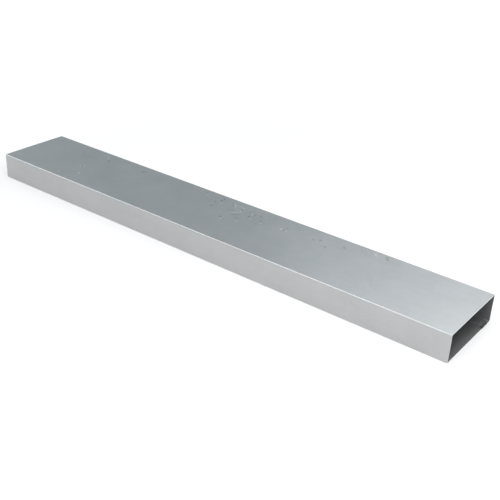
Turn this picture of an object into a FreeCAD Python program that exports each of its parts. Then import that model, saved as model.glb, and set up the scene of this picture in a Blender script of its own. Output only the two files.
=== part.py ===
import FreeCAD, Part
import math
import os

import Sketcher

# A straight length of flat rectangular air duct, folded from one strip of galvanised sheet.
# X runs along the duct, Y across it and Z up. The origin is the middle of the underside.
# The strip's two edges hook into each other in a flat lock seam, which runs the whole length of
# the underside near the +Y wall. Its four layers lie inside, so the outside is flush.

# Driving sizes: millimetres, and one angle in degrees.
driving_sizes = (
    ("duct_length", 1000, "cut length"),
    ("duct_width", 150, "outside width"),
    ("duct_height", 50, "outside height"),
    ("sheet_thickness", 0.6, "thickness of the sheet"),
    ("bend_radius", 0.9, "inside radius of the four corner bends"),
    ("seam_setback", 20, "outside of the +Y wall to the middle of the seam"),
    ("hook_length", 6, "straight length of each seam hook"),
    ("seam_clearance", 0.1, "gap between neighbouring layers of the seam"),
    ("joggle_radius", 0.6, "inside radius where the sheet leaves the underside"),
    ("joggle_angle", 60, "slope of the sheet beside the seam"),
)

doc = FreeCAD.newDocument("duct")
sheet = doc.addObject("Spreadsheet::Sheet", "sizes")
for row, (alias, value, meaning) in enumerate(driving_sizes, start=1):
    sheet.set(f"A{row}", meaning)
    sheet.set(f"B{row}", str(value))
    sheet.setAlias(f"B{row}", alias)
doc.recompute()

body = doc.addObject("PartDesign::Body", "duct_body")
body.Label = "flat_channel_duct"
profile = body.newObject("Sketcher::SketchObject", "folded_profile")
across_plane = next(plane for plane in body.Origin.OriginFeatures if plane.Role == "YZ_Plane")
profile.AttachmentSupport = [(across_plane, "")]
profile.MapMode = "FlatFace"

# Sizes that follow from the driving ones.
thickness = "sizes.sheet_thickness"
clearance = "sizes.seam_clearance"
joggle_angle = "sizes.joggle_angle"
hook = "sizes.hook_length"
corner_inner = "sizes.bend_radius"
corner_outer = f"({corner_inner} + {thickness})"
hook_fold_inner = f"({thickness} / 2 + {clearance})"  # half of one layer and its two gaps
wrap_inner = f"(1.5 * {thickness} + 2 * {clearance})"  # round the other edge's fold, a gap away
seam_rise = f"(3 * ({thickness} + {clearance}))"
both_joggle_radii = f"(sizes.joggle_radius + {thickness} + {wrap_inner})"
joggle_run = f"(({seam_rise} - {both_joggle_radii} * (1 - cos({joggle_angle}))) / sin({joggle_angle}))"
joggle_reach = f"({both_joggle_radii} * sin({joggle_angle}) + {joggle_run} * cos({joggle_angle}))"
side_flat = f"sizes.duct_height - 2 * {corner_outer}"
top_flat = f"sizes.duct_width - 2 * {corner_outer}"
floor_flat = f"sizes.duct_width - sizes.seam_setback + {hook} / 2 - {corner_outer}"
seam_side_flat = f"sizes.seam_setback - {hook} / 2 - {corner_outer} - {joggle_reach}"

# The strip's path from one edge to the other: runs with a length, and bends with a turn in
# degrees, positive to the left, and an inside radius. It starts along +Y and goes round the
# duct clockwise, with the outside on its left.
strip_path = (
    ("run", "first_hook", hook),
    ("bend", "first_fold", "-180", hook_fold_inner),
    ("run", "floor", floor_flat),
    ("bend", "front_floor_bend", "-90", corner_inner),
    ("run", "front_wall", side_flat),
    ("bend", "front_top_bend", "-90", corner_inner),
    ("run", "top", top_flat),
    ("bend", "back_top_bend", "-90", corner_inner),
    ("run", "back_wall", side_flat),
    ("bend", "back_floor_bend", "-90", corner_inner),
    ("run", "seam_side_floor", seam_side_flat),
    ("bend", "joggle_bend", f"-{joggle_angle}", "sizes.joggle_radius"),
    ("run", "joggle", joggle_run),
    ("bend", "wrap_bend", joggle_angle, wrap_inner),
    ("run", "top_layer", hook),
    ("bend", "second_fold", "180", hook_fold_inner),
    ("run", "second_hook", hook),
)


def size(expression):
    return float(profile.evalExpression(expression))


def direction(degrees):
    return FreeCAD.Vector(math.cos(math.radians(degrees)), math.sin(math.radians(degrees)), 0)


def add_run(place, heading, length, depth):
    # one face of a straight run, as its edge number and its first and last point numbers
    start = place + direction(heading - 90) * depth
    line = Part.LineSegment(start, start + direction(heading) * length)
    return profile.addGeometry(line), 1, 2


def add_bend(centre, heading, turn, radius):
    # one face of a bend; an arc always runs to the left, so a right turn is entered at its end
    circle = Part.Circle(centre, FreeCAD.Vector(0, 0, 1), radius)
    if turn > 0:
        arc = Part.ArcOfCircle(circle, math.radians(heading - 90), math.radians(heading + turn - 90))
        return profile.addGeometry(arc), 1, 2
    arc = Part.ArcOfCircle(circle, math.radians(heading + turn + 90), math.radians(heading + 90))
    return profile.addGeometry(arc), 2, 1


def bind(constraint, name, expression):
    number = profile.addConstraint(constraint)
    profile.renameConstraint(number, name)
    profile.setExpression(f"Constraints.{name}", expression)


def hold_direction(edge, heading, name):
    if heading % 180 == 0:
        profile.addConstraint(Sketcher.Constraint("Horizontal", edge))
    elif heading % 180 == 90:
        profile.addConstraint(Sketcher.Constraint("Vertical", edge))
    else:
        angle = Sketcher.Constraint("Angle", edge, math.radians(heading))
        bind(angle, f"{name}_slope", f"(180 - {joggle_angle}) * 1deg")


# Both faces of the strip, drawn along the path at their true places.
wall = size(thickness)
first_fold_y = size(f"sizes.duct_width / 2 - sizes.seam_setback + {hook} / 2")
place = FreeCAD.Vector(first_fold_y - size(hook), size(f"3 * {thickness} + 2 * {clearance}"), 0)
heading = 0
outside = []
inside = []
for step, name, amount, *radius in strip_path:
    if step == "run":
        length = size(amount)
        outside.append(add_run(place, heading, length, 0))
        inside.append(add_run(place, heading, length, wall))
        place = place + direction(heading) * length
        continue
    turn = size(amount)
    inner = size(radius[0])
    side = 1 if turn > 0 else -1
    to_outside = inner if turn > 0 else inner + wall
    to_inside = inner + wall if turn > 0 else inner
    centre = place + direction(heading + 90 * side) * to_outside
    outside.append(add_bend(centre, heading, turn, to_outside))
    inside.append(add_bend(centre, heading, turn, to_inside))
    heading = heading + turn
    place = centre + direction(heading - 90 * side) * to_outside

# Neighbouring edges run smoothly into each other, and a short cut edge closes each end.
for face in (outside, inside):
    for (before, _, last), (after, first, _) in zip(face, face[1:]):
        profile.addConstraint(Sketcher.Constraint("Tangent", before, last, after, first))
for end, point in ((0, 1), (-1, 2)):
    corners = [profile.getPoint(face[end][0], face[end][point]) for face in (outside, inside)]
    cut = profile.addGeometry(Part.LineSegment(*corners))
    profile.addConstraint(Sketcher.Constraint("Coincident", cut, 1, outside[end][0], outside[end][point]))
    profile.addConstraint(Sketcher.Constraint("Coincident", cut, 2, inside[end][0], inside[end][point]))
    profile.addConstraint(Sketcher.Constraint("Vertical", cut))
    profile.addConstraint(Sketcher.Constraint("Horizontal", inside[end][0]))

# Every run has its length and direction, and every bend its two radii about one centre.
heading = 0
for (step, name, amount, *radius), outer_face, inner_face in zip(strip_path, outside, inside):
    outer_edge = outer_face[0]
    inner_edge = inner_face[0]
    if step == "run":
        bind(Sketcher.Constraint("Distance", outer_edge, size(amount)), name, amount)
        hold_direction(outer_edge, heading, name)
        continue
    turn = size(amount)
    heading = heading + turn
    profile.addConstraint(Sketcher.Constraint("Coincident", outer_edge, 3, inner_edge, 3))
    concave, convex = (outer_edge, inner_edge) if turn > 0 else (inner_edge, outer_edge)
    convex_radius = f"{radius[0]} + {thickness}"
    bind(Sketcher.Constraint("Radius", concave, size(radius[0])), f"{name}_inner", radius[0])
    bind(Sketcher.Constraint("Radius", convex, size(convex_radius)), f"{name}_outer", convex_radius)

# The floor lies on zero height, and the -Y wall stands half the width from the middle.
floor_edge = outside[2][0]
front_edge = outside[4][0]
profile.addConstraint(Sketcher.Constraint("PointOnObject", floor_edge, 1, -1))
half_width = "sizes.duct_width / 2"
bind(Sketcher.Constraint("DistanceX", front_edge, 1, -1, 1, size(half_width)), "half_width", half_width)

pad = body.newObject("PartDesign::Pad", "strip")
pad.Profile = profile
pad.SideType = "Symmetric"
pad.setExpression("Length", "sizes.duct_length")
doc.recompute()

failed = [item.Label for item in doc.Objects if "Invalid" in item.State or "Error" in item.State]
if failed:
    raise RuntimeError(f"failed: {failed}")
if not profile.FullyConstrained:
    raise RuntimeError("the folded profile is not fully constrained")
if body.Shape.isNull() or not body.Shape.isValid() or len(body.Shape.Solids) != 1:
    raise RuntimeError(f"{body.Label} is not one valid solid")
os.makedirs("parts", exist_ok=True)
body.Shape.exportStep(f"parts/{body.Label}.step")
print(body.Label, body.Shape.BoundBox, f"{body.Shape.Volume:.1f} mm3")
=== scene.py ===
import math

import bmesh
import bpy
from mathutils import Matrix, Vector, noise


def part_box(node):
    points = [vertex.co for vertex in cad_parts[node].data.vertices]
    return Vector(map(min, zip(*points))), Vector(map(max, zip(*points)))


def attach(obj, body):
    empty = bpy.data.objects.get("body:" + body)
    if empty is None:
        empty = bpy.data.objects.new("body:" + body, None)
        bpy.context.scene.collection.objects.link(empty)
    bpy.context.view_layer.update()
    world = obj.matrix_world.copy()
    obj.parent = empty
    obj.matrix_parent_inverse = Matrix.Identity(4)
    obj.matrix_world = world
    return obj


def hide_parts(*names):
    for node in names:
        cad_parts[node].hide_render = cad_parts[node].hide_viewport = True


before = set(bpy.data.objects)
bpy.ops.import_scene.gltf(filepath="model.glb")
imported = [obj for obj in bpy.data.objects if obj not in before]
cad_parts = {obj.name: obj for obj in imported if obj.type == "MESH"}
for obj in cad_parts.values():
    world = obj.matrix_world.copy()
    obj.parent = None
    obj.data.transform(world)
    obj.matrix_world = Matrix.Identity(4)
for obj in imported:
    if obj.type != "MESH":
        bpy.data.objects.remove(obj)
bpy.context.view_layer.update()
ductLow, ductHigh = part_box("flat_channel_duct")

toMillimetres = 1000

# folded strip of sheet, metres and degrees; the seam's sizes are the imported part's own
duct = {
    "sheet": 0.0006,
    "bendRadius": 0.0009,      # inside of the corner bends
    "seamSetback": 0.020,      # back wall to the middle of the seam
    "hook": 0.006,
    "layerGap": 0.0001,
    "joggleRadius": 0.0006,
    "joggleAngle": 60,
    "bendSteps": 8,            # faces round a quarter turn
    "panelStrip": 0.005,       # width of the faces across a panel
    "slices": 160,             # faces along the length
    "crown": 0.0003,           # how far the middle of the top stands above its edges
    "sideDish": 0.00035,       # how far the side walls are drawn in by it
    "bowShare": 0.3,           # share by which both of them vary
    "crownWaves": (4, 0, 0),   # waves to the metre along x, y and z
    "dishWaves": (5, 20, 0),
    "waver": 0.0001,           # unevenness of the wide panels
    "waverWaves": (7, 12, 40),
    "skin": 0.0001,            # what comes this close to a side of the box lies on it
    "edgeBreak": 0.0002,       # rounding left by the shear
    "rimAngle": 60,            # edges that turn more than this are rounded
    "creaseAngle": 20,         # edges that turn more than this are shaded sharp
    "cutFacing": 0.3,          # least lengthwise part of the normal on a cut end
    "seamReach": 0.010,        # half width of the seam, where its crimped ends get painted shade
    "seamHeight": 0.0036,      # takes in all four layers of the seam
    # painted shade: how much darker the ends of the seam are coloured
    "seamEndShade": -1.0,
    "topBand": 0.001,          # what lies this close under the highest point is the top
    "topFacing": 0.5,          # least upward part of the normal on its outside
    "markDepth": 0.00012,
    "markMargin": 4,           # millimetres of finer faces round a mark
    "markCuts": 3,
}


def walkStrip(bm):
    # outside face of the strip at one end of the duct, walked from one seam hook to the other
    sheet, gap, hook = duct["sheet"], duct["layerGap"], duct["hook"]
    quarter = math.pi / 2
    corner = duct["bendRadius"] + sheet
    fold = sheet / 2 + gap                      # each hook closes round one layer
    wrap = 1.5 * sheet + 2 * gap                # and the joggle passes round the other hook
    slope = math.radians(duct["joggleAngle"])
    joggleRadii = duct["joggleRadius"] + sheet + wrap
    rise = 3 * (sheet + gap)                    # from the floor to the fourth layer
    joggle = (rise - joggleRadii * (1 - math.cos(slope))) / math.sin(slope)
    reach = joggleRadii * math.sin(slope) + joggle * math.cos(slope)
    width, height = ductHigh.y - ductLow.y, ductHigh.z - ductLow.z
    foldY = ductHigh.y - duct["seamSetback"] + hook / 2
    tip = bm.verts.new((ductLow.x, foldY - hook, ductLow.z + 3 * sheet + 2 * gap))
    end = {"vert": tip, "heading": 0.0}

    def run(length):
        count = max(1, round(length / duct["panelStrip"]))
        step = Vector((0, math.cos(end["heading"]), math.sin(end["heading"]))) * (length / count)
        for _ in range(count):
            end["vert"] = bmesh.ops.extrude_vert_indiv(bm, verts=[end["vert"]])["verts"][0]
            bmesh.ops.translate(bm, verts=[end["vert"]], vec=step)

    def bend(turn, inside):
        # positive turns to the left; the outside face is on the left of the walk
        side = 1 if turn > 0 else -1
        radius = inside if turn > 0 else inside + sheet
        toCentre = end["heading"] + side * quarter
        centre = end["vert"].co + Vector((0, math.cos(toCentre), math.sin(toCentre))) * radius
        made = bmesh.ops.spin(
            bm, geom=[end["vert"]], cent=centre, axis=(1, 0, 0), angle=turn,
            steps=round(abs(turn) / quarter * duct["bendSteps"]),
        )
        end["vert"] = made["geom_last"][0]
        end["heading"] += turn

    run(hook)                                                   # third layer of the seam
    bend(-math.pi, fold)
    run(width - duct["seamSetback"] + hook / 2 - corner)        # floor
    bend(-quarter, duct["bendRadius"])
    run(height - 2 * corner)                                    # front wall
    bend(-quarter, duct["bendRadius"])
    run(width - 2 * corner)                                     # top
    bend(-quarter, duct["bendRadius"])
    run(height - 2 * corner)                                    # back wall
    bend(-quarter, duct["bendRadius"])
    run(duct["seamSetback"] - hook / 2 - corner - reach)        # floor behind the seam
    bend(-slope, duct["joggleRadius"])
    run(joggle)
    bend(slope, wrap)
    run(hook)                                                   # top layer of the seam
    bend(math.pi, fold)
    run(hook)                                                   # second layer
    # how far along the walk each point lies, for a finish that follows the sheet round its bends
    walked = bm.verts.layers.float.new("walked")
    points = list(bm.verts)
    for before, after in zip(points, points[1:]):
        after[walked] = before[walked] + (after.co - before.co).length


def ripple(spot, waves):
    # noise from -1 to 1, with so many waves to the metre along x, y and z
    return noise.noise([place * count for place, count in zip(spot, waves)])


def bowPanels(bm):
    # springy sheet with square corners: the top bows out between its bends,
    # and that draws the side walls in
    middle = (ductLow + ductHigh) / 2
    halfWidth, halfHeight = (ductHigh.y - ductLow.y) / 2, (ductHigh.z - ductLow.z) / 2
    flatHeight = halfHeight - duct["bendRadius"] - duct["sheet"]
    for vert in bm.verts:
        spot = vert.co.copy()
        heightShare = (spot.z - ductLow.z) / (2 * halfHeight)
        across = math.cos(min(1, abs(spot.y) / halfWidth) * math.pi / 2)
        uneven = 1 + duct["bowShare"] * ripple(spot, duct["crownWaves"])
        vert.co.z -= duct["crown"] * (1 - across) * heightShare * uneven
        waver = duct["waver"] * across * (1 + ripple(spot, duct["waverWaves"])) / 2
        if spot.z > ductHigh.z - duct["skin"]:
            vert.co.z -= waver
        elif spot.z < ductLow.z + duct["skin"]:
            vert.co.z += waver
        elif abs(spot.y) > halfWidth - duct["skin"] and abs(spot.z - middle.z) < flatHeight:
            upright = math.cos((spot.z - middle.z) / flatHeight * math.pi / 2)
            uneven = 1 + duct["bowShare"] * ripple(spot, duct["dishWaves"])
            vert.co.y -= math.copysign(duct["sideDish"] * upright * uneven, spot.y)


# marks of handling on the top, millimetres: x, y, half length, half width, turn in degrees,
# and tone, rubbed bright above zero and dulled below
handlingMarks = (
    (-74, 63, 5, 3, -50, -0.5),
    (-66, 55, 5, 3, -50, 0.4),
    (-38, 33, 5, 3, -50, 0.6),
    (-32, 25, 5, 3, -50, -0.5),
    (-37, 41, 5, 3, -50, -0.5),
    (-30, 53, 5, 3, -50, -1.0),
    (-30, 61, 5, 3, -50, -0.9),
    (-23, 43, 6, 4, -50, 0.3),
    (2, 53, 14, 2, -51, 0.9),
    (-2, 52, 14, 2, -51, -0.5),
    (4, 30, 6, 3, 40, -0.4),
    (10, 35, 6, 3, 40, -0.5),
    (23, 47, 5, 3, -50, -0.7),
    (21, 54, 4, 3, -50, 0.8),
    (25, 40, 4, 3, -50, 0.8),
    (26, 24, 16, 3, 43, -0.6),
    (21, 32, 15, 3, 43, 0.4),
    (11, -1, 5, 3, -50, -0.9),
    (16, -6, 4, 3, -50, 0.9),
    (20, -6, 4, 3, -50, -0.5),
    (37, 13, 8, 5, 43, -0.4),
    (44, 4, 5, 3, -50, 0.6),
    (49, 33, 5, 3, -50, -0.8),
    (49, 44, 5, 3, -50, 1.0),
    (53, 45, 4, 2, -50, -0.7),
    (56, 27, 6, 3, 20, 0.4),
    (35, 60, 7, 5, 0, 0.3),
    (65, 50, 6, 3, -50, -0.5),
    (76, 33, 5, 3, -50, -0.5),
    (82, 25, 5, 3, -50, 0.6),
    (76, 49, 5, 3, -50, 0.4),
    (122, 32, 5, 3, -50, 0.8),
    (128, 31, 6, 3, 30, -0.7),
    (128, 40, 6, 3, 20, -0.5),
    (133, 32, 4, 3, -50, 0.7),
    (187, 37, 5, 4, -50, -0.5),
    (197, 43, 5, 4, -50, -0.6),
    (216, 28, 6, 4, -50, -0.4),
    (242, 48, 8, 3, -50, -0.5),
    (296, 61, 11, 3, -51, 0.5),
    (317, 62, 13, 4, -51, -0.5),
    (-341, -11, 5, 2, -48, -1.0),
    (-344, -13, 5, 2, -48, 0.8),
    (-339, -7, 5, 2, -48, 0.8),
    (-319, -39, 5, 3, -48, 1.0),
    (-313, -52, 5, 3, -48, 0.6),
    (-355, -59, 5, 4, -48, 0.4),
    (-333, 54, 14, 4, -46, 0.4),
    (-322, 44, 10, 3, -46, -0.5),
    (-230, 51, 9, 6, 40, -0.5),
)


def refineMarked(bm):
    # smaller faces on the top wherever a mark of handling comes
    marked = []
    for face in bm.faces:
        middle = face.calc_center_median() * toMillimetres
        if middle.z < (ductHigh.z - duct["topBand"]) * toMillimetres:
            continue
        if any(math.hypot(middle.x - x, middle.y - y) < halfLength + duct["markMargin"]
               for x, y, halfLength, _, _, _ in handlingMarks):
            marked.append(face)
    edges = list(dict.fromkeys(edge for face in marked for edge in face.edges))
    bmesh.ops.subdivide_edges(bm, edges=edges, cuts=duct["markCuts"], use_grid_fill=True)


def markTop(bm):
    # shallow dents, each with how bright or dull it is rubbed
    rubbedAndShaded = bm.verts.layers.float.new("rubbedAndShaded")
    for vert in bm.verts:
        if vert.normal.z < duct["topFacing"] or vert.co.z < ductHigh.z - duct["topBand"]:
            continue
        total = 0.0
        for x, y, halfLength, halfWidth, turn, tone in handlingMarks:
            offset = Vector((vert.co.x * toMillimetres - x, vert.co.y * toMillimetres - y))
            offset.rotate(Matrix.Rotation(math.radians(-turn), 2))
            fade = 1 - math.hypot(offset.x / halfLength, offset.y / halfWidth)
            if fade > 0:
                total += tone * fade * fade * (3 - 2 * fade)    # smooth at the rim and the middle
        vert[rubbedAndShaded] = total
        vert.co.z -= duct["markDepth"] * min(1, abs(total))


def atSeam(point):
    off = abs(point.y - (ductHigh.y - duct["seamSetback"]))
    return off < duct["seamReach"] and point.z < ductLow.z + duct["seamHeight"]


# painted shade: the ends of the seam's stacked layers are coloured darker, through the same attribute as
# the marks of handling
def shadeSeamEnds(bm):
    rubbedAndShaded = bm.verts.layers.float["rubbedAndShaded"]
    for vert in bm.verts:
        if abs(vert.co.x) > ductHigh.x - 2 * duct["edgeBreak"] and atSeam(vert.co):
            vert[rubbedAndShaded] = duct["seamEndShade"]


def facesInwards(face):
    outwards = face.calc_center_median() - (ductLow + ductHigh) / 2
    return face.normal.y * outwards.y + face.normal.z * outwards.z < 0


def makeDuct(sheetFinish, insideShadedCopy, edgeFinish):
    length = ductHigh.x - ductLow.x
    bm = bmesh.new()
    walkStrip(bm)
    made = bmesh.ops.extrude_edge_only(bm, edges=bm.edges[:])
    farVerts = [item for item in made["geom"] if isinstance(item, bmesh.types.BMVert)]
    bmesh.ops.translate(bm, verts=farVerts, vec=(length, 0, 0))
    lengthwise = [e for e in bm.edges if abs(e.verts[0].co.x - e.verts[1].co.x) > length / 2]
    bmesh.ops.subdivide_edges(bm, edges=lengthwise, cuts=duct["slices"] - 1, use_grid_fill=True)
    refineMarked(bm)
    bowPanels(bm)
    bm.normal_update()
    bmesh.ops.solidify(bm, geom=bm.faces[:], thickness=duct["sheet"])
    for vert in bm.verts:
        vert.co.x = min(max(vert.co.x, ductLow.x), ductHigh.x)  # the ends stay square
    bm.normal_update()
    markTop(bm)
    bm.normal_update()
    rimAngle, creaseAngle = math.radians(duct["rimAngle"]), math.radians(duct["creaseAngle"])
    rims = [e for e in bm.edges if e.is_manifold and e.calc_face_angle() > rimAngle]
    bmesh.ops.bevel(
        bm, geom=rims, offset=duct["edgeBreak"], offset_type="OFFSET", segments=2,
        profile=0.5, affect="EDGES", material=-1,
    )
    bm.normal_update()
    shadeSeamEnds(bm)
    outside, inside, cutEnd = range(3)                          # order of the finishes below
    for face in bm.faces:
        face.smooth = True
        if abs(face.normal.x) > duct["cutFacing"] and not atSeam(face.calc_center_median()):
            face.material_index = cutEnd
        else:
            face.material_index = inside if facesInwards(face) else outside
    for edge in bm.edges:
        edge.smooth = edge.calc_face_angle(0) < creaseAngle
    mesh = bpy.data.meshes.new("galvanisedDuct")
    bm.to_mesh(mesh)
    bm.free()
    for finish in (sheetFinish, insideShadedCopy, edgeFinish):
        mesh.materials.append(finish)
    piece = bpy.data.objects.new("galvanisedDuct", mesh)
    bpy.context.scene.collection.objects.link(piece)
    evenShading = piece.modifiers.new("evenShading", "WEIGHTED_NORMAL")
    evenShading.keep_sharp = True
    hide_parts("flat_channel_duct")
    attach(piece, "root")
    print("duct", len(mesh.polygons), "faces")


def newMaterial(name):
    material = bpy.data.materials.new(name)
    material.use_nodes = True
    tree = material.node_tree
    tree.nodes.clear()
    output = tree.nodes.new("ShaderNodeOutputMaterial")
    return material, tree, output


def addNode(tree, kind, settings=None, **sockets):
    # settings are the node's own properties, sockets its inputs by name, or by number as i0, i1;
    # an input gets a link from a socket, else a value
    node = tree.nodes.new(kind)
    for name, value in (settings or {}).items():
        setattr(node, name, value)
    for name, value in sockets.items():
        numbered = name[0] == "i" and name[1:].isdigit()
        socket = node.inputs[int(name[1:]) if numbered else name]
        if isinstance(value, bpy.types.NodeSocket):
            tree.links.new(value, socket)
        else:
            socket.default_value = value
    return node


def worked(tree, operation, *values):
    inputs = {"i%d" % index: value for index, value in enumerate(values)}
    return addNode(tree, "ShaderNodeMath", {"operation": operation}, **inputs).outputs[0]


def scaled(tree, value, factor, start):
    return worked(tree, "MULTIPLY_ADD", value, factor, start)


def product(tree, first, second):
    return worked(tree, "MULTIPLY", first, second)


def around(tree, value, share, middle):
    # a value from 0 to 1, spread to both sides of the middle
    return scaled(tree, value, share, middle - share / 2)


def ramped(tree, value, low, high, start=0.0, end=1.0):
    # smoothly from start to end while the value goes from low to high
    return addNode(tree, "ShaderNodeMapRange", {"interpolation_type": "SMOOTHSTEP"},
                   Value=value, i1=low, i2=high, i3=start, i4=end).outputs[0]


def cloud(tree, place, size, detail, roughness=0.5):
    # soft noise from 0 to 1 with lumps of this size
    return addNode(tree, "ShaderNodeTexNoise", Vector=place, Scale=1 / size,
                   Detail=detail, Roughness=roughness).outputs["Fac"]


def addMetal(tree, output, colour, tone, metal, gloss, normal):
    tinted = addNode(tree, "ShaderNodeVectorMath", {"operation": "SCALE"}, i0=colour, Scale=tone)
    shader = addNode(tree, "ShaderNodeBsdfPrincipled", Metallic=metal, Roughness=gloss, Normal=normal)
    tree.links.new(tinted.outputs[0], shader.inputs["Base Color"])
    tree.links.new(shader.outputs["BSDF"], output.inputs["Surface"])


# hot-dip zinc with a small flat spangle; sizes in metres, tones as shares of the colour
zinc = {
    "colour": (0.440, 0.443, 0.444),
    "metal": 0.85,
    "roughness": 0.30,
    "insideShade": 0.75,       # painted shade: the zinc inside is a darker copy, and duller
    "insideMetal": 0.95,
    "insideRoughness": 0.48,
    "spangleSize": 0.013,
    "raggedSize": 0.005,
    "raggedShift": 0.0015,
    "spangleTone": 0.025,
    "spangleGloss": 0.03,
    "spangleTilt": 0.004,
    "mottleSize": 0.06,
    "mottleTone": 0.12,
    "mottleGloss": 0.1,
    "streakCount": (6, 320, 320),  # streaks to the metre along x, y and z
    "streakTone": 0.08,
    "borderWidth": 0.06,       # share of a crystal's size
    "borderDepth": 0.000003,
    "grainSize": 0.0012,
    "grainDepth": 0.000002,
    "bendReach": 0.0022,       # worn zinc on the outside of the corner bends, lightened as a painted highlight
    # worn zinc and painted highlight: how much lighter the bends are coloured
    "bendWearAndHighlightTone": 0.08,
    "bendGrain": 0.6,          # how much the grain breaks up that wear and painted highlight
    # share in the tone of the marks of handling, and of the painted shade at the seam's ends
    "markAndShadeTone": 0.6,
}


def bendMask(tree, place):
    # 1 along the four corner bends, 0 on the flat panels
    axes = addNode(tree, "ShaderNodeSeparateXYZ", Vector=place)
    middle = (ductLow.z + ductHigh.z) / 2
    side = worked(tree, "ABSOLUTE", axes.outputs["Y"])
    height = worked(tree, "ABSOLUTE", worked(tree, "SUBTRACT", axes.outputs["Z"], middle))
    nearSide = ramped(tree, side, ductHigh.y - zinc["bendReach"], ductHigh.y)
    nearEdge = ramped(tree, height, ductHigh.z - middle - zinc["bendReach"], ductHigh.z - middle)
    return product(tree, nearSide, nearEdge)


def galvanisedSheet(name, shade, metal, roughness):
    material, tree, output = newMaterial(name)
    place = tree.nodes.new("ShaderNodeTexCoord").outputs["Object"]
    # zinc crystals with ragged borders, laid out on the flat strip
    walked = addNode(tree, "ShaderNodeAttribute", {"attribute_name": "walked"}).outputs["Fac"]
    axes = addNode(tree, "ShaderNodeSeparateXYZ", Vector=place)
    strip = addNode(tree, "ShaderNodeCombineXYZ", X=axes.outputs["X"], Y=walked).outputs[0]
    ragged = addNode(tree, "ShaderNodeTexNoise", Vector=strip, Scale=1 / zinc["raggedSize"], Detail=1.0)
    shift = zinc["raggedShift"]
    torn = addNode(tree, "ShaderNodeVectorMath", {"operation": "MULTIPLY_ADD"},
                   i0=ragged.outputs["Color"], i1=(shift, shift, 0), i2=strip).outputs[0]
    crystals = addNode(tree, "ShaderNodeTexVoronoi", {"voronoi_dimensions": "2D"},
                       Vector=torn, Scale=1 / zinc["spangleSize"])
    borders = addNode(tree, "ShaderNodeTexVoronoi",
                      {"voronoi_dimensions": "2D", "feature": "DISTANCE_TO_EDGE"},
                      Vector=torn, Scale=1 / zinc["spangleSize"])
    facet = addNode(tree, "ShaderNodeSeparateColor", Color=crystals.outputs["Color"])
    # cloudy mottling, fine streaks along the rolling direction, and a fine grain
    mottle = cloud(tree, place, zinc["mottleSize"], detail=4.0, roughness=0.6)
    along = addNode(tree, "ShaderNodeMapping", Vector=place, Scale=zinc["streakCount"])
    streaks = cloud(tree, along.outputs[0], size=1.0, detail=2.0)
    grain = cloud(tree, place, zinc["grainSize"], detail=2.0)
    # marks of handling, together with the painted shade at the seam's ends
    marksAndShade = addNode(tree, "ShaderNodeAttribute", {"attribute_name": "rubbedAndShaded"}).outputs["Fac"]
    # worn zinc and painted highlight: the colour is lightened along the four bends
    bendWearAndHighlight = product(tree, bendMask(tree, place), around(tree, grain, zinc["bendGrain"], 1.0))
    tones = (
        (facet.outputs["Red"], zinc["spangleTone"]),
        (mottle, zinc["mottleTone"]),
        (streaks, zinc["streakTone"]),
    )
    tone = 1 - sum(share for _, share in tones) / 2
    for value, share in (*tones, (bendWearAndHighlight, zinc["bendWearAndHighlightTone"]), (marksAndShade, zinc["markAndShadeTone"])):
        tone = scaled(tree, value, share, tone)
    gloss = roughness - (zinc["spangleGloss"] + zinc["mottleGloss"]) / 2
    gloss = scaled(tree, facet.outputs["Green"], zinc["spangleGloss"], gloss)
    gloss = scaled(tree, mottle, zinc["mottleGloss"], gloss)
    # each crystal leans a little its own way, with shallow borders and the grain over it
    lean = addNode(tree, "ShaderNodeVectorMath", {"operation": "SUBTRACT"},
                   i0=crystals.outputs["Color"], i1=(0.5, 0.5, 0.5)).outputs[0]
    normal = tree.nodes.new("ShaderNodeNewGeometry").outputs["Normal"]
    tilt = zinc["spangleTilt"]
    leaning = addNode(tree, "ShaderNodeVectorMath", {"operation": "MULTIPLY_ADD"},
                      i0=lean, i1=(tilt, tilt, tilt), i2=normal).outputs[0]
    leaning = addNode(tree, "ShaderNodeVectorMath", {"operation": "NORMALIZE"}, i0=leaning).outputs[0]
    grooves = ramped(tree, borders.outputs["Distance"], 0.0, zinc["borderWidth"])
    relief = scaled(tree, grain, zinc["grainDepth"], product(tree, grooves, zinc["borderDepth"]))
    bump = addNode(tree, "ShaderNodeBump", Height=relief, Distance=1.0, Normal=leaning)
    # painted shade: for the inside copy of the zinc the shade scales its colour down
    colour = [shade * part for part in zinc["colour"]]
    addMetal(tree, output, colour, tone, metal, gloss, bump.outputs[0])
    return material


# bare steel of the cut ends, drawn across the sheet by the shear; coloured paler than bare steel, a
# painted highlight on the cut rims
cutEdge = {
    # painted highlight: the pale colour makes the cut rims bright
    "colour": (0.86, 0.86, 0.86),
    "metal": 1.0,
    "roughness": 0.34,
    "tearSize": 0.0006,
    "tearTone": 0.5,
    "tearGloss": 0.2,
    "tearDepth": 0.00001,
}


def shearedEdge():
    material, tree, output = newMaterial("shearedEdge")
    place = tree.nodes.new("ShaderNodeTexCoord").outputs["Object"]
    tears = cloud(tree, place, cutEdge["tearSize"], detail=3.0)
    tone = around(tree, tears, cutEdge["tearTone"], 1.0)
    gloss = around(tree, tears, cutEdge["tearGloss"], cutEdge["roughness"])
    bump = addNode(tree, "ShaderNodeBump", Height=product(tree, tears, cutEdge["tearDepth"]), Distance=1.0)
    addMetal(tree, output, cutEdge["colour"], tone, cutEdge["metal"], gloss, bump.outputs[0])
    return material


# pale floor that the duct lies on
studioFloor = {
    "reach": 8.0,
    "colour": 0.5,
    "glowNear": 0.27,          # own light, for the camera and reflections only
    "glowFar": 0.7,
    "nearRadius": 0.5,
    "farRadius": 1.8,
}


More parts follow.
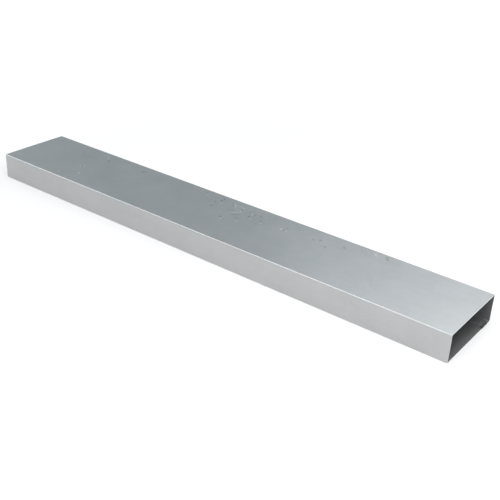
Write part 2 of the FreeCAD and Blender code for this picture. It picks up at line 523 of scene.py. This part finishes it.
def makeFloor():
    bm = bmesh.new()
    bmesh.ops.create_grid(bm, x_segments=1, y_segments=1, size=studioFloor["reach"])
    mesh = bpy.data.meshes.new("studioFloor")
    bm.to_mesh(mesh)
    bm.free()
    floor = bpy.data.objects.new("studioFloor", mesh)
    bpy.context.scene.collection.objects.link(floor)
    material, tree, output = newMaterial("paleFloor")
    shade = studioFloor["colour"]
    paint = addNode(tree, "ShaderNodeBsdfDiffuse", Color=(shade, shade, shade, 1))
    ray = tree.nodes.new("ShaderNodeLightPath")
    seen = ray.outputs["Is Camera Ray"]
    for kind in ("Is Glossy Ray", "Is Transmission Ray"):
        seen = worked(tree, "MAXIMUM", seen, ray.outputs[kind])
    spot = tree.nodes.new("ShaderNodeTexCoord").outputs["Object"]
    away = addNode(tree, "ShaderNodeVectorMath", {"operation": "LENGTH"}, i0=spot).outputs["Value"]
    level = ramped(tree, away, studioFloor["nearRadius"], studioFloor["farRadius"],
                   studioFloor["glowNear"], studioFloor["glowFar"])
    glow = addNode(tree, "ShaderNodeEmission", Strength=product(tree, seen, level))
    both = addNode(tree, "ShaderNodeAddShader", i0=paint.outputs[0], i1=glow.outputs[0])
    tree.links.new(both.outputs[0], output.inputs["Surface"])
    mesh.materials.append(material)
    print("floor")


# room light by height above the horizon, the brighter side of the room, and the lamps
studio = {
    "room": (
        (0.0, (0.93, 0.94, 0.95)),
        (0.1, (0.87, 0.89, 0.90)),
        (0.2, (0.56, 0.615, 0.64)),
        (0.32, (0.195, 0.245, 0.26)),
        (0.5, (0.50, 0.585, 0.63)),
        (0.75, (0.25, 0.26, 0.27)),
        (1.0, (0.92, 0.92, 0.92)),
    ),
    "sideGlow": 0.84,          # the room is brighter behind on the right
    "glowColour": (0.8, 0.8, 0.8),
    "glowSide": (0.4, 0.917, 0.0),
    "glowSpread": (0.47, 0.95),  # cosines of the angle from that side, none to full
    "glowRise": (0.22, 0.42),  # heights above the horizon, none to full
    "sunFrom": (-0.3, -0.6, 0.75),
    "sunLevel": 1.83,
    "sunSpread": 60,
    "lamps": (
        # name, place, aim, size, watts, colour
        ("backFill", (-0.3, 1.5, 1.5), (0.2, 0, 0), (1.0, 0.8), 1.7, (0.93, 0.98, 1.0)),
        ("backPanel", (0.3, 1.5, 1.5), (0.2, 0, 0), (1.0, 0.8), 1.5, (0.95, 0.99, 1.0)),
        ("frontBox", (0.9, -0.8, 1.2), (0.4, 0, 0), (1.2, 0.8), 13.0, (1.0, 1.0, 1.0)),
        ("mouthBox", (1.1, -0.1, 0.85), (0.4, 0, 0), (1.2, 1.0), 4.5, (1.0, 1.0, 1.0)),
        ("mouthStrip", (0.58, 0.5, 0.55), (0.56, 0, 0), (0.14, 1.0), 0.75, (1.0, 1.0, 1.0)),
        ("leftFill", (-1.6, 0.0, 1.0), (0.2, 0, 0), (1.0, 0.8), 5.3, (0.93, 0.98, 1.0)),
    ),
}


def hangLamp(lamp, place, aim):
    holder = bpy.data.objects.new(lamp.name, lamp)
    holder.location = place
    holder.rotation_euler = (Vector(aim) - Vector(place)).to_track_quat("-Z", "Y").to_euler()
    bpy.context.scene.collection.objects.link(holder)


def lightStudio():
    world = bpy.data.worlds.new("studio")
    bpy.context.scene.world = world
    world.use_nodes = True
    tree = world.node_tree
    tree.nodes.clear()
    direction = tree.nodes.new("ShaderNodeTexCoord")
    axes = addNode(tree, "ShaderNodeSeparateXYZ", Vector=direction.outputs["Generated"])
    ramp = addNode(tree, "ShaderNodeValToRGB", Fac=axes.outputs["Z"])
    stops = ramp.color_ramp.elements
    while len(stops) < len(studio["room"]):
        stops.new(0.5)                                          # moved to its height below
    for stop, (height, colour) in zip(stops, studio["room"]):
        stop.position = height
        stop.color = (*colour, 1)
    sky = addNode(tree, "ShaderNodeBackground", Color=ramp.outputs["Color"], Strength=1.0)
    compass = addNode(tree, "ShaderNodeCombineXYZ", X=axes.outputs["X"], Y=axes.outputs["Y"]).outputs[0]
    compass = addNode(tree, "ShaderNodeVectorMath", {"operation": "NORMALIZE"}, i0=compass).outputs[0]
    towards = addNode(tree, "ShaderNodeVectorMath", {"operation": "DOT_PRODUCT"},
                      i0=compass, i1=studio["glowSide"]).outputs["Value"]
    level = product(tree, ramped(tree, towards, *studio["glowSpread"]),
                    ramped(tree, axes.outputs["Z"], *studio["glowRise"]))
    glow = addNode(tree, "ShaderNodeBackground", Color=(*studio["glowColour"], 1),
                   Strength=product(tree, level, studio["sideGlow"]))
    both = addNode(tree, "ShaderNodeAddShader", i0=sky.outputs[0], i1=glow.outputs[0])
    output = tree.nodes.new("ShaderNodeOutputWorld")
    tree.links.new(both.outputs[0], output.inputs["Surface"])
    sun = bpy.data.lights.new("ceilingSun", "SUN")
    sun.energy = studio["sunLevel"]
    sun.angle = math.radians(studio["sunSpread"])
    hangLamp(sun, studio["sunFrom"], (0, 0, 0))
    for name, place, aim, size, watts, colour in studio["lamps"]:
        lamp = bpy.data.lights.new(name, "AREA")
        lamp.shape = "RECTANGLE"
        lamp.size, lamp.size_y = size
        lamp.energy = watts
        lamp.color = colour
        hangLamp(lamp, place, aim)
    print("studio lit")


# the photograph's viewpoint, metres, degrees and millimetres: a little roll, and a 500 by 500 frame
viewpoint = {
    "place": (0.85642, -1.04440, 0.69886),
    "aim": (0.10111, -0.02856, 0.025),
    "roll": 2.652,
    "lens": 59.875,
    "sensor": 36.0,
}


def placeCamera():
    data = bpy.data.cameras.new("photoCamera")
    data.lens, data.sensor_width = viewpoint["lens"], viewpoint["sensor"]
    camera = bpy.data.objects.new("photoCamera", data)
    sight = Vector(viewpoint["aim"]) - Vector(viewpoint["place"])
    level = sight.to_track_quat("-Z", "Y").to_matrix().to_4x4()
    roll = Matrix.Rotation(math.radians(viewpoint["roll"]), 4, "Z")
    camera.matrix_world = Matrix.Translation(viewpoint["place"]) @ level @ roll
    bpy.context.scene.collection.objects.link(camera)
    bpy.context.scene.camera = camera
    print("camera")


bpy.context.scene.view_settings.view_transform = "Standard"
placeCamera()
lightStudio()
makeFloor()
makeDuct(
    galvanisedSheet("galvanisedSheet", 1.0, zinc["metal"], zinc["roughness"]),
    # darker copy of the zinc for the inside, painted shade
    galvanisedSheet("shadedInside", zinc["insideShade"], zinc["insideMetal"], zinc["insideRoughness"]),
    shearedEdge(),
)
